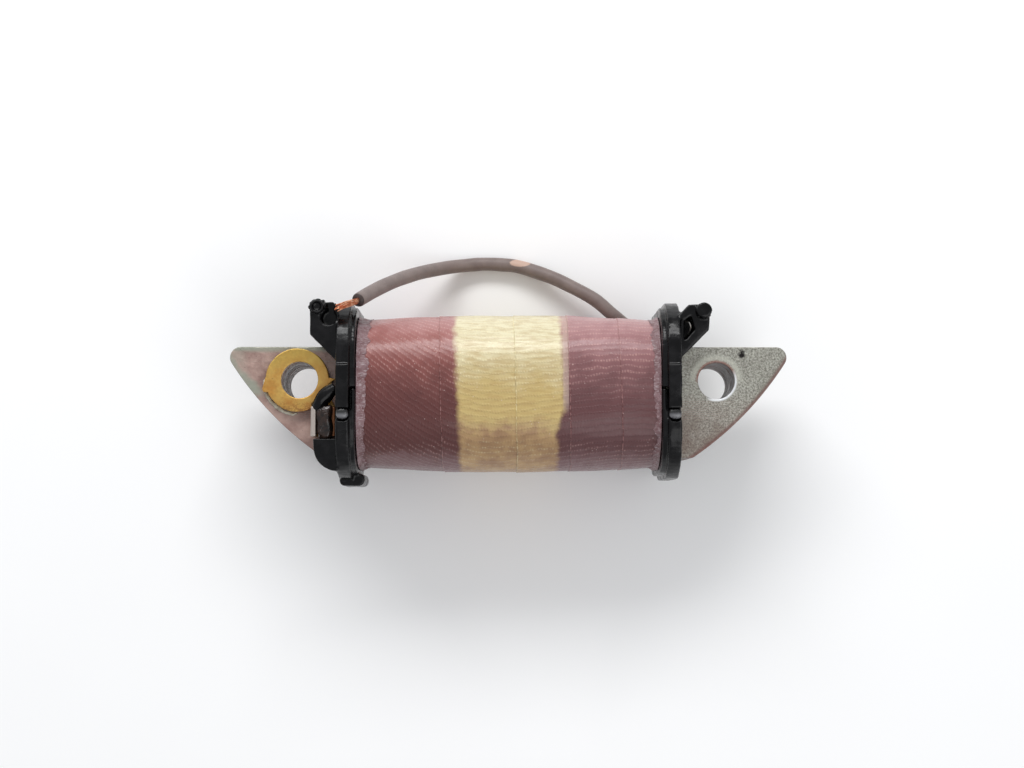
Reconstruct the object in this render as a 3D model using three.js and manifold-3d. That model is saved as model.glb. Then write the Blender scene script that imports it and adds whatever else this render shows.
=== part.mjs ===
// Ignition source coil for a flywheel magneto: a two-part bobbin wound and taped on a laminated core.
// Millimetres. +X runs along the core, +Y towards the flywheel's hub, +Z up from the surface that the
// coil lies on. The origin is the middle of the footprint, at the height of the flanges' rear faces.
import * as THREE from "three";
import { mergeVertices } from "three/addons/utils/BufferGeometryUtils.js";
import Module from "manifold-3d";

const wasm = await Module();
wasm.setup();

// ---- driving dimensions ----
const GAP = 0.3; // between pieces that touch

// core
const SHEET_COUNT = 12;
const SHEET_PITCH = 1.0;
const SHEET_THICKNESS = 0.94;
const CORE_REAR = 7.2;
const CORE_FRONT = CORE_REAR + SHEET_COUNT * SHEET_PITCH;
const HOLE_PITCH = 62.5;
const HOLE_RADIUS = 2.75;
const HOLE_Y = 1.9;
const POLE_RADIUS = 49.6;
const POLE_CENTRE_Y = 31.5;
const WING_TOP = 7.0;
const WING_BOTTOM = -9.7;
const WING_INNER_X = 25.8;
const WING_TIP_RADIUS = 1.6;
const WING_HEEL_RADIUS = 1.5;
const NECK_HEIGHT = 9.5;

// bobbin
const AXIS_Y = 0.4;
const AXIS_Z = (CORE_REAR + CORE_FRONT) / 2;
const BARREL_WALL = 1.0;
const FLANGE_HEIGHT = 26.5;
const FLANGE_DEPTH = 2 * AXIS_Z;
const FLANGE_CORNER = 8;
const CORNER_STEPS = 14; // facets in each rounded corner of a flange
const FLANGE_OUTER_X = 25.4;
const FLANGE_STEP_X = 23.4;
const FLANGE_INNER_X = 22.6;
const FLANGE_STEP_INSET = 0.7;
const LATCH_WIDTH = 1.9;
const LATCH_TOP = 3.8;
const LATCH_BOTTOM = -2.6;
const LATCH_PROUD = 0.35;
const NOTCH_RADIUS = 1.15;
const TERMINAL_REAR = CORE_FRONT + GAP;
const TERMINAL_FRONT = 25.0;
const POST_RADIUS = 1.05;
const POST_FRONT = 26.0;

// winding and tape: each layer is a rounded rectangle in the YZ plane, given as height by depth
const WINDING_HALF_LENGTH = 22.3;
const BASE_TAPE = { height: 13.2, depth: 15.7, corner: 1.6, wall: 0.4 };
const BAND_WALL = 0.3;
const TAPE_WALL = 0.45;
const TAPE_HEIGHT = 23.6;
const TAPE_DEPTH = 24.0;
const TAPE_CORNER = 8.6;
const TAPE_SEAMS = [-22.3, -10.1, 1.0, 8.95, 16.6, 22.3];
const BAND_FROM = -7.9;
const BAND_TO = 8.7;
const END_TAPE_LENGTH = 2.2;

// ground terminal
const RING_REAR = CORE_FRONT + 0.25;
const RING_THICKNESS = 1.0;
const RING_OUTER_RADIUS = 4.75;
const RING_CENTRE_X = -HOLE_PITCH / 2 - 0.35;
const CRIMP_LEFT = -29.3;
const CRIMP_RIGHT = -25.8;
const CRIMP_TOP = -2.2;
const CRIMP_BOTTOM = -6.6;
const CRIMP_FRONT = 22.6;

// output lead
const LEAD_RADIUS = 1.1;
const STRAND_BUNDLE_RADIUS = 0.45;

// ---- materials ----
function finish(color, roughness, metalness = 0) {
  return new THREE.MeshStandardMaterial({ color, roughness, metalness });
}

const steel = finish(0x96948c, 0.45, 0.9);
const blackPlastic = finish(0x17181a, 0.3);
const brass = finish(0xc89b52, 0.4, 0.9);
const copper = finish(0xd07848, 0.35, 1);
const enamelledWire = finish(0x6e2c24, 0.4, 0.2);
const clothTape = finish(0x8a5558, 0.55);
const yellowTape = finish(0xd8bd62, 0.5);
const paperTape = finish(0xd9c9a0, 0.7);
const paleTape = finish(0xb6a9a6, 0.7);
const resin = finish(0x2e1c14, 0.15);
const leadSleeve = finish(0x7a6c68, 0.5);

const coil = new THREE.Group();

function add(name, geometry, material) {
  const mesh = new THREE.Mesh(geometry, material);
  mesh.name = name;
  coil.add(mesh);
}

// ---- shape helpers ----
// Points on an arc from angle a0 to a1, both ends included, in radians.
function arc(cx, cy, radius, a0, a1, steps) {
  const points = [];
  for (let i = 0; i <= steps; i++) {
    const a = a0 + ((a1 - a0) * i) / steps;
    points.push(new THREE.Vector2(cx + radius * Math.cos(a), cy + radius * Math.sin(a)));
  }
  return points;
}

function roundedRectangle(cx, cy, width, height, corner, steps = 6) {
  const [x, y] = [width / 2 - corner, height / 2 - corner];
  const quarter = Math.PI / 2;
  return [
    ...arc(cx + x, cy + y, corner, 0, quarter, steps),
    ...arc(cx - x, cy + y, corner, quarter, 2 * quarter, steps),
    ...arc(cx - x, cy - y, corner, 2 * quarter, 3 * quarter, steps),
    ...arc(cx + x, cy - y, corner, 3 * quarter, 4 * quarter, steps),
  ];
}

function shapeOf(points, holes = []) {
  const shape = new THREE.Shape(points);
  for (const hole of holes) shape.holes.push(new THREE.Path(hole));
  return shape;
}

// A plate with its outline in XY, from z0 to z1.
function plate(shape, z0, z1) {
  return new THREE.ExtrudeGeometry(shape, { depth: z1 - z0, bevelEnabled: false }).translate(0, 0, z0);
}

// A slab with its outline in YZ, from x0 to x1.
function slab(shape, x0, x1) {
  const turned = new THREE.Matrix4().set(0, 0, 1, x0, 1, 0, 0, 0, 0, 1, 0, 0, 0, 0, 0, 1);
  return new THREE.ExtrudeGeometry(shape, { depth: x1 - x0, bevelEnabled: false }).applyMatrix4(turned);
}

function block(x0, x1, y0, y1, z0, z1) {
  const box = new THREE.BoxGeometry(x1 - x0, y1 - y0, z1 - z0);
  return box.translate((x0 + x1) / 2, (y0 + y1) / 2, (z0 + z1) / 2);
}

// An upright round pin or cutter.
function pin(x, y, radius, z0, z1, sides = 16) {
  const geometry = new THREE.CylinderGeometry(radius, radius, z1 - z0, sides);
  return geometry.rotateX(Math.PI / 2).translate(x, y, (z0 + z1) / 2);
}

function solid(geometry) {
  const bare = geometry.index ? geometry.toNonIndexed() : geometry.clone();
  bare.deleteAttribute("normal");
  bare.deleteAttribute("uv");
  const merged = mergeVertices(bare, 1e-4);
  return new wasm.Manifold(
    new wasm.Mesh({
      numProp: 3,
      vertProperties: new Float32Array(merged.attributes.position.array),
      triVerts: new Uint32Array(merged.index.array),
    }),
  );
}

function geometryOf(manifold) {
  const { vertProperties, triVerts } = manifold.getMesh();
  const geometry = new THREE.BufferGeometry();
  geometry.setAttribute("position", new THREE.BufferAttribute(new Float32Array(vertProperties), 3));
  geometry.setIndex(new THREE.BufferAttribute(new Uint32Array(triVerts), 1));
  return geometry;
}

const join = (...geometries) => geometries.map(solid).reduce((a, b) => a.add(b));
const cut = (body, ...cutters) => cutters.map(solid).reduce((a, b) => a.subtract(b), body);

// A round tube along a curve through the points.
function tube(points, radius, steps, sides = 8) {
  const path = new THREE.CatmullRomCurve3(points.map((p) => new THREE.Vector3(...p)));
  const section = new THREE.Shape(arc(0, 0, radius, 0, 2 * Math.PI, sides).slice(0, -1));
  return new THREE.ExtrudeGeometry(section, { steps, extrudePath: path, bevelEnabled: false });
}

// ---- core ----
// The pole arc is struck from the flywheel's axis; the tip and the heel are rounded into it.
function wingOutline() {
  const tipY = WING_TOP - WING_TIP_RADIUS;
  const tipX = Math.sqrt((POLE_RADIUS - WING_TIP_RADIUS) ** 2 - (tipY - POLE_CENTRE_Y) ** 2);
  const heelY = WING_BOTTOM + WING_HEEL_RADIUS;
  const heelX = Math.sqrt((POLE_RADIUS - WING_HEEL_RADIUS) ** 2 - (heelY - POLE_CENTRE_Y) ** 2);
  const tipAngle = Math.atan2(tipY - POLE_CENTRE_Y, tipX);
  const heelAngle = Math.atan2(heelY - POLE_CENTRE_Y, heelX);
  return [
    new THREE.Vector2(WING_INNER_X, WING_BOTTOM),
    ...arc(heelX, heelY, WING_HEEL_RADIUS, -Math.PI / 2, heelAngle, 3),
    ...arc(0, POLE_CENTRE_Y, POLE_RADIUS, heelAngle, tipAngle, 8).slice(1, -1),
    ...arc(tipX, tipY, WING_TIP_RADIUS, tipAngle, Math.PI / 2, 5),
    new THREE.Vector2(WING_INNER_X, WING_TOP),
  ];
}

function coreSheet() {
  const right = wingOutline();
  const left = right.map((p) => new THREE.Vector2(-p.x, p.y)).reverse();
  const neckTop = AXIS_Y + NECK_HEIGHT / 2;
  const neckBottom = AXIS_Y - NECK_HEIGHT / 2;
  const outline = [
    new THREE.Vector2(-WING_INNER_X, neckBottom),
    new THREE.Vector2(WING_INNER_X, neckBottom),
    ...right,
    new THREE.Vector2(WING_INNER_X, neckTop),
    new THREE.Vector2(-WING_INNER_X, neckTop),
    ...left,
  ];
  const holes = [-1, 1].map((side) =>
    arc((side * HOLE_PITCH) / 2, HOLE_Y, HOLE_RADIUS, 0, 2 * Math.PI, 20).slice(0, -1),
  );
  return shapeOf(outline, holes);
}

function addCore() {
  for (let i = 0; i < SHEET_COUNT; i++) {
    const z = CORE_REAR + i * SHEET_PITCH;
    const number = String(i + 1).padStart(2, "0");
    add(`core_lamination_${number}`, plate(coreSheet(), z, z + SHEET_THICKNESS), steel);
  }
}

// ---- bobbin ----
const barrelHeight = NECK_HEIGHT + 2 * (GAP + BARREL_WALL);
const barrelDepth = SHEET_COUNT * SHEET_PITCH + 2 * (GAP + BARREL_WALL);

function wholeBobbin() {
  const passageHeight = NECK_HEIGHT + 2 * GAP;
  const passageDepth = CORE_FRONT - CORE_REAR + 2 * GAP;
  const passage = slab(
    shapeOf(roundedRectangle(AXIS_Y, AXIS_Z, passageHeight, passageDepth, 0.3, 1)),
    -FLANGE_OUTER_X - 1,
    FLANGE_OUTER_X + 1,
  );
  const rim = shapeOf(
    roundedRectangle(AXIS_Y, AXIS_Z, FLANGE_HEIGHT, FLANGE_DEPTH, FLANGE_CORNER, CORNER_STEPS),
  );
  const web = shapeOf(
    roundedRectangle(
      AXIS_Y,
      AXIS_Z,
      FLANGE_HEIGHT - 2 * FLANGE_STEP_INSET,
      FLANGE_DEPTH - 2 * FLANGE_STEP_INSET,
      FLANGE_CORNER - FLANGE_STEP_INSET,
      CORNER_STEPS,
    ),
  );
  const barrel = shapeOf(roundedRectangle(AXIS_Y, AXIS_Z, barrelHeight, barrelDepth, 1.0, 2));
  const body = join(
    slab(barrel, -FLANGE_STEP_X, FLANGE_STEP_X),
    slab(rim, -FLANGE_OUTER_X, -FLANGE_STEP_X),
    slab(rim, FLANGE_STEP_X, FLANGE_OUTER_X),
    slab(web, -FLANGE_STEP_X - 0.5, -FLANGE_INNER_X),
    slab(web, FLANGE_INNER_X, FLANGE_STEP_X + 0.5),
  );
  return cut(body, passage);
}

// The tongue that hooks over the lower half, on the front and the rear of one flange.
function latchTongue(side, atFront) {
  const xOuter = side * (FLANGE_OUTER_X - 0.05);
  const xInner = side * (FLANGE_OUTER_X - 0.05 - LATCH_WIDTH);
  const [x0, x1] = [Math.min(xOuter, xInner), Math.max(xOuter, xInner)];
  const face = atFront ? FLANGE_DEPTH : 0;
  const depth = 1.3;
  const [z0, z1] = atFront ? [face - depth, face + LATCH_PROUD] : [face, face + depth];
  return block(x0, x1, LATCH_BOTTOM, LATCH_TOP, z0, z1);
}

// The seat that a tongue lies in, with the half-moon notch that frees its end.
function latchSeat(side, atFront) {
  const tongue = latchTongue(side, atFront);
  tongue.computeBoundingBox();
  const { min, max } = tongue.boundingBox;
  const [z0, z1] = atFront ? [min.z - GAP, max.z + 1] : [min.z - 1, max.z + GAP];
  const seat = block(min.x - GAP, max.x + GAP, LATCH_BOTTOM - GAP, LATCH_TOP, z0, z1);
  const [n0, n1] = atFront ? [FLANGE_DEPTH - 0.8, FLANGE_DEPTH + 1] : [-1, 0.8];
  const notch = pin(side * (FLANGE_OUTER_X - 1.0), LATCH_BOTTOM - 0.9, NOTCH_RADIUS, n0, n1, 18);
  return [seat, notch];
}

// A terminal block stands on the flange's outer face, in front of the wing.
function leftTerminalBlock() {
  const outline = [
    [-25.2, 4.2],
    [-25.2, 12.6],
    [-26.2, 13.5],
    [-28.2, 13.4],
    [-29.3, 12.6],
    [-29.3, 8.3],
  ].map(([x, y]) => new THREE.Vector2(x, y));
  const body = join(
    plate(shapeOf(outline), TERMINAL_REAR, TERMINAL_FRONT),
    pin(-28.25, 12.35, POST_RADIUS, TERMINAL_REAR, POST_FRONT, 24),
  );
  const dish = solid(pin(-28.25, 12.35, POST_RADIUS - 0.4, POST_FRONT - 0.5, POST_FRONT + 1, 24));
  const pocket = join(
    pin(-26.6, 10.9, 1.25, TERMINAL_FRONT - 3.2, TERMINAL_FRONT + 1, 18),
    block(-27.15, -25.7, 10.9, 15, TERMINAL_FRONT - 3.2, TERMINAL_FRONT + 1),
  );
  return body.subtract(pocket).subtract(dish);
}

function rightTerminalBlock() {
  const outline = [
    [25.2, 4.6],
    [29.6, 9.0],
    [29.8, 11.6],
    [28.9, 12.9],
    [26.6, 12.8],
    [25.2, 11.3],
  ].map(([x, y]) => new THREE.Vector2(x, y));
  const opening = [
    [25.9, 7.3],
    [27.6, 9.1],
    [27.0, 11.2],
    [25.9, 10.4],
  ].map(([x, y]) => new THREE.Vector2(x, y));
  const body = join(
    plate(shapeOf(outline), TERMINAL_REAR, TERMINAL_FRONT - 0.6),
    pin(28.8, 11.85, POST_RADIUS + 0.1, TERMINAL_REAR, POST_FRONT, 24),
  );
  return cut(body, plate(shapeOf(opening), TERMINAL_FRONT - 4.2, TERMINAL_FRONT + 1));
}

// The rounded horn that guards the lower end of the ground crimp.
function groundHorn() {
  const heel = arc(-25.2, -8.1, 3.7, Math.PI, 1.5 * Math.PI, 12);
  const outline = [new THREE.Vector2(-25.2, -7.0), new THREE.Vector2(-28.9, -7.0), ...heel];
  return plate(shapeOf(outline), TERMINAL_REAR, 23.2);
}

// The moulded foot under the left flange.
function leftFoot() {
  const outline = roundedRectangle(-23.5, -12.95, 3.8, 1.9, 0.8, 3);
  return plate(shapeOf(outline), 8.5, 18);
}

function addBobbin() {
  const far = 60;
  const bobbin = wholeBobbin();
  const upperSide = block(-far, far, AXIS_Y + GAP / 2, far, -far, far);
  const lowerSide = block(-far, far, -far, AXIS_Y - GAP / 2, -far, far);
  const corners = [-1, 1].flatMap((side) => [true, false].map((atFront) => [side, atFront]));
  const tongues = join(...corners.map(([side, atFront]) => latchTongue(side, atFront)));
  const seats = corners.flatMap(([side, atFront]) => latchSeat(side, atFront));

  const upper = bobbin
    .intersect(solid(upperSide))
    .add(tongues)
    .add(leftTerminalBlock())
    .add(rightTerminalBlock());
  const lower = cut(bobbin.intersect(solid(lowerSide)), ...seats)
    .add(solid(groundHorn()))
    .add(solid(leftFoot()));
  add("bobbin_upper_half", geometryOf(upper), blackPlastic);
  add("bobbin_lower_half", geometryOf(lower), blackPlastic);
}

// ---- winding ----
// One closed wrap round the bobbin, from x0 to x1, with the given outer size and wall.
function wrap(x0, x1, height, depth, corner, wall, steps = 6) {
  const outer = roundedRectangle(AXIS_Y, AXIS_Z, height, depth, corner, steps);
  const inner = roundedRectangle(AXIS_Y, AXIS_Z, height - 2 * wall, depth - 2 * wall, corner - wall, steps);
  return slab(shapeOf(outer, [inner]), x0, x1);
}

function addWinding() {
  const { height, depth, corner, wall } = BASE_TAPE;
  const end = WINDING_HALF_LENGTH;
  add("base_tape", wrap(-end, end, height, depth, corner, wall, 3), paperTape);

  const bandHeight = TAPE_HEIGHT - 2 * (TAPE_WALL + GAP);
  const bandDepth = TAPE_DEPTH - 2 * (TAPE_WALL + GAP);
  const bandCorner = TAPE_CORNER - TAPE_WALL - GAP;
  const wireHeight = bandHeight - 2 * (BAND_WALL + 0.15);
  const wireDepth = bandDepth - 2 * (BAND_WALL + 0.15);
  const wireCorner = bandCorner - BAND_WALL - 0.15;
  const wireOutside = roundedRectangle(AXIS_Y, AXIS_Z, wireHeight, wireDepth, wireCorner);
  const wireInside = roundedRectangle(AXIS_Y, AXIS_Z, height + GAP, depth + GAP, corner);
  add("magnet_wire_winding", slab(shapeOf(wireOutside, [wireInside]), -end, end), enamelledWire);
  const band = wrap(BAND_FROM, BAND_TO, bandHeight, bandDepth, bandCorner, BAND_WALL);
  add("yellow_barrier_band", band, yellowTape);

  for (let i = 0; i + 1 < TAPE_SEAMS.length; i++) {
    const isFirst = i === 0;
    const isLast = i + 2 === TAPE_SEAMS.length;
    const x0 = TAPE_SEAMS[i] + (isFirst ? END_TAPE_LENGTH + GAP : GAP / 2);
    const x1 = TAPE_SEAMS[i + 1] - (isLast ? END_TAPE_LENGTH + GAP : GAP / 2);
    const turn = wrap(x0, x1, TAPE_HEIGHT, TAPE_DEPTH, TAPE_CORNER, TAPE_WALL);
    add(`cloth_tape_turn_${i + 1}`, turn, clothTape);
  }
  const endWall = TAPE_WALL + 0.25;
  const size = [TAPE_HEIGHT + 0.3, TAPE_DEPTH + 0.3, TAPE_CORNER + 0.1, endWall];
  add("end_tape_left", wrap(-end, -end + END_TAPE_LENGTH, ...size), paleTape);
  add("end_tape_right", wrap(end - END_TAPE_LENGTH, end, ...size), paleTape);
}

// ---- ground terminal and the winding's two ends ----
function addGroundTerminal() {
  const front = RING_REAR + RING_THICKNESS;
  const spike = [
    [-28.6, 3.0],
    [-27.6, 2.3],
    [-25.8, 2.1],
    [-27.3, 0.9],
    [-28.8, -0.6],
  ].map(([x, y]) => new THREE.Vector2(x, y));
  const kink = [
    [-35.0, 2.4],
    [-36.4, 2.2],
    [-36.85, 0.6],
    [-36.7, 0.1],
    [-35.4, 0.1],
  ].map(([x, y]) => new THREE.Vector2(x, y));
  const neck = [
    [-31.5, -2.4],
    [-29.2, -0.6],
    [-27.4, 0.4],
    [CRIMP_RIGHT, CRIMP_TOP],
    [CRIMP_RIGHT, CRIMP_BOTTOM],
    [CRIMP_LEFT, CRIMP_BOTTOM],
    [CRIMP_LEFT, CRIMP_TOP - 0.2],
  ].map(([x, y]) => new THREE.Vector2(x, y));
  const terminal = cut(
    join(
      pin(RING_CENTRE_X, HOLE_Y, RING_OUTER_RADIUS, RING_REAR, front, 40),
      plate(shapeOf(spike.reverse()), RING_REAR, front),
      plate(shapeOf(kink), RING_REAR, front),
      plate(shapeOf(neck.reverse()), RING_REAR, front),
      block(CRIMP_LEFT, CRIMP_LEFT + 0.7, CRIMP_BOTTOM, CRIMP_TOP, RING_REAR, CRIMP_FRONT),
      block(CRIMP_RIGHT - 0.5, CRIMP_RIGHT, CRIMP_BOTTOM, CRIMP_TOP, RING_REAR, CRIMP_FRONT - 0.6),
    ),
    pin(-HOLE_PITCH / 2, HOLE_Y, HOLE_RADIUS, RING_REAR - 1, front + 1, 28),
  );
  add("ground_ring_terminal", geometryOf(terminal), brass);

  const filling = shapeOf(
    roundedRectangle(
      (CRIMP_LEFT + 0.7 + CRIMP_RIGHT - 0.5) / 2,
      (CRIMP_TOP + CRIMP_BOTTOM) / 2,
      CRIMP_RIGHT - CRIMP_LEFT - 1.2 - 2 * GAP,
      CRIMP_TOP - CRIMP_BOTTOM - GAP,
      0.4,
      2,
    ),
  );
  add("ground_crimp_fill", plate(filling, front + GAP, CRIMP_FRONT - 0.5), resin);
}

function addWireEnds() {
  const sleevePath = [
    [-28.0, -1.7, 22.0],
    [-27.4, -0.9, 22.4],
    [-26.7, -0.1, 22.6],
    [-25.9, 0.5, 22.7],
  ];
  add("ground_wire_sleeve", tube(sleevePath, 0.75, 8, 10), blackPlastic);

  const finishPath = [
    [26.5, 8.5, 21.9],
    [26.9, 9.2, 22.3],
    [26.9, 9.9, 22.4],
    [26.4, 10.2, 22.2],
  ];
  add("winding_finish_wire", tube(finishPath, 0.14, 8, 6), enamelledWire);

  // The taped splice stands on the rear corner of the winding, beside the right flange.
  const cornerY = AXIS_Y + TAPE_HEIGHT / 2 - TAPE_CORNER;
  const cornerZ = AXIS_Z - TAPE_DEPTH / 2 + TAPE_CORNER;
  const [from, to] = [-62, -40].map(THREE.MathUtils.degToRad);
  const inner = arc(cornerY, cornerZ, TAPE_CORNER + 0.45, to, from, 4);
  const outer = arc(cornerY, cornerZ, TAPE_CORNER + 2.2, from, to, 4);
  add("lead_splice_cover", slab(shapeOf([...inner, ...outer]), 19.7, WINDING_HALF_LENGTH), clothTape);
}

// ---- output lead ----
// It leaves the winding's upper flank beside the right flange, lies on the supporting surface along the
// coil and climbs to rest on the left flange's shoulder.
const LEAD_ROUTE = [
  [19.1, 11.8, 3.5],
  [18.0, 12.5, 3.8],
  [16.3, 13.9, 4.2],
  [13.7, 16.1, 4.0],
  [10.1, 18.2, 3.3],
  [6.5, 20.0, 2.4],
  [1.9, 21.6, 1.6],
  [-1.0, 22.0, 1.35],
  [-3.9, 22.1, 1.3],
  [-6.3, 21.9, 1.5],
  [-8.9, 21.5, 2.4],
  [-11.4, 20.8, 4.4],
  [-13.9, 19.8, 7.6],
  [-16.4, 18.4, 11.8],
  [-18.7, 16.8, 16.0],
  [-20.7, 15.1, 20.1],
  [-22.4, 13.45, 23.8],
];
const STRAND_ROUTE = [
  [-22.55, 13.3, 24.1],
  [-23.4, 12.9, 24.9],
  [-24.4, 12.5, 25.55],
  [-25.4, 12.0, 26.0],
];

function addOutputLead() {
  add("output_lead", tube(LEAD_ROUTE, LEAD_RADIUS, 28, 8), leadSleeve);
  add("output_lead_copper", tube(STRAND_ROUTE, STRAND_BUNDLE_RADIUS, 5, 8), copper);
}

addCore();
addBobbin();
addWinding();
addGroundTerminal();
addWireEnds();
addOutputLead();

export default coil;
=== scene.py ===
# Ignition source coil: the finished look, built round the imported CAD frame.
# Lengths are written in millimetres and turned into metres by MM.
import math
import random

import bmesh
import bpy
from mathutils import Matrix, Vector, noise


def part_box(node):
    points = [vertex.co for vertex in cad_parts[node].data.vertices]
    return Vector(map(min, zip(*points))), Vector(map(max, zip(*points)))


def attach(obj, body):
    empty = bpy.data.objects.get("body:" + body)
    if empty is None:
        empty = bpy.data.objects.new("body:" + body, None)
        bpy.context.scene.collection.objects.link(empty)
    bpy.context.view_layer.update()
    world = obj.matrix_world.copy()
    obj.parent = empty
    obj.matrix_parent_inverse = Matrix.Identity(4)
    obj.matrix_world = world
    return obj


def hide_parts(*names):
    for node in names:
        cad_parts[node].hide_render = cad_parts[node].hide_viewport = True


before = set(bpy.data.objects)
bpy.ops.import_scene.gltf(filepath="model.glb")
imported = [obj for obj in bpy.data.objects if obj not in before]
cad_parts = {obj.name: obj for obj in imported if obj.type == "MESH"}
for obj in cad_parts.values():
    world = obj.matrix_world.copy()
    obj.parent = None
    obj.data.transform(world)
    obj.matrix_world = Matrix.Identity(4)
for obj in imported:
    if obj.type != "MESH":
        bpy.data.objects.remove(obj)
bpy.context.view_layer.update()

MM = 0.001

# ---- sizes shared with the CAD model ----
_, CORE_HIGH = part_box("core_lamination_12")
CORE_FRONT = CORE_HIGH.z / MM
AXIS_Y = 0.4
AXIS_Z = 13.2
HOLE_X = 31.25
HOLE_Y = 1.9
HOLE_RADIUS = 2.75
RING_CENTRE_X = -31.6
POLE_RADIUS = 49.6
POLE_CENTRE_Y = 31.5
WING_TOP = 7.0
WING_BOTTOM = -9.7
WING_INNER_X = 25.8
TIP_RADIUS = 1.6
HEEL_RADIUS = 1.5
NECK_HALF = 4.75
TAPE_AXIS_Y = 0.2
TAPE_HALF_Y = 11.8
TAPE_HALF_Z = 12.0
TAPE_CORNER = 8.6
TAPE_END = 22.3
SEAMS = [-22.3, -10.1, 1.0, 8.95, 16.6, 22.3]
ROW_PITCH = 0.95  # between yarn rows
LEAD_RADIUS = 1.1
SHEET_COUNT = 12
SHEET_SLIP = 0.05

# ---- the lead and its stripped end, as in the CAD model ----
LEAD_ROUTE = [
    (19.1, 11.8, 3.5),
    (18.0, 12.5, 3.8),
    (16.3, 13.9, 4.2),
    (13.7, 16.1, 4.0),
    (10.1, 18.2, 3.3),
    (6.5, 20.0, 2.4),
    (1.9, 21.6, 1.6),
    (-1.0, 22.0, 1.35),
    (-3.9, 22.1, 1.3),
    (-6.3, 21.9, 1.5),
    (-8.9, 21.5, 2.4),
    (-11.4, 20.8, 4.4),
    (-13.9, 19.8, 7.6),
    (-16.4, 18.4, 11.8),
    (-18.7, 16.8, 16.0),
    (-20.7, 15.1, 20.1),
    (-22.4, 13.45, 23.8),
]
STRAND_ROUTE = [
    (-22.0, 13.85, 22.95),
    (-22.55, 13.3, 24.1),
    (-23.4, 12.9, 24.9),
    (-24.4, 12.5, 25.55),
    (-25.4, 12.0, 26.0),
]


# ---- camera ----
CAMERA_AT = Vector((-1.43, -19.0, 289.0)) * MM
CAMERA_AIM = Vector((0.52, 1.4, 19.2)) * MM
CAMERA_LENS = 63.3


def add_camera():
    data = bpy.data.cameras.new("camera")
    data.lens = CAMERA_LENS
    data.sensor_width = 36
    data.clip_start = 0.01
    camera = bpy.data.objects.new("camera", data)
    back = (CAMERA_AT - CAMERA_AIM).normalized()
    right = Vector((0, 1, 0)).cross(back).normalized()
    turned = Matrix((right, back.cross(right), back)).transposed()
    camera.matrix_world = Matrix.Translation(CAMERA_AT) @ turned.to_4x4()
    bpy.context.scene.collection.objects.link(camera)
    bpy.context.scene.camera = camera


add_camera()


# ---- material nodes ----
def linear(red, green, blue):
    """An sRGB colour of 0 to 255 as a linear RGBA value."""
    def channel(value):
        value /= 255
        return value / 12.92 if value <= 0.04045 else ((value + 0.055) / 1.055) ** 2.4
    return (channel(red), channel(green), channel(blue), 1.0)


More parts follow.
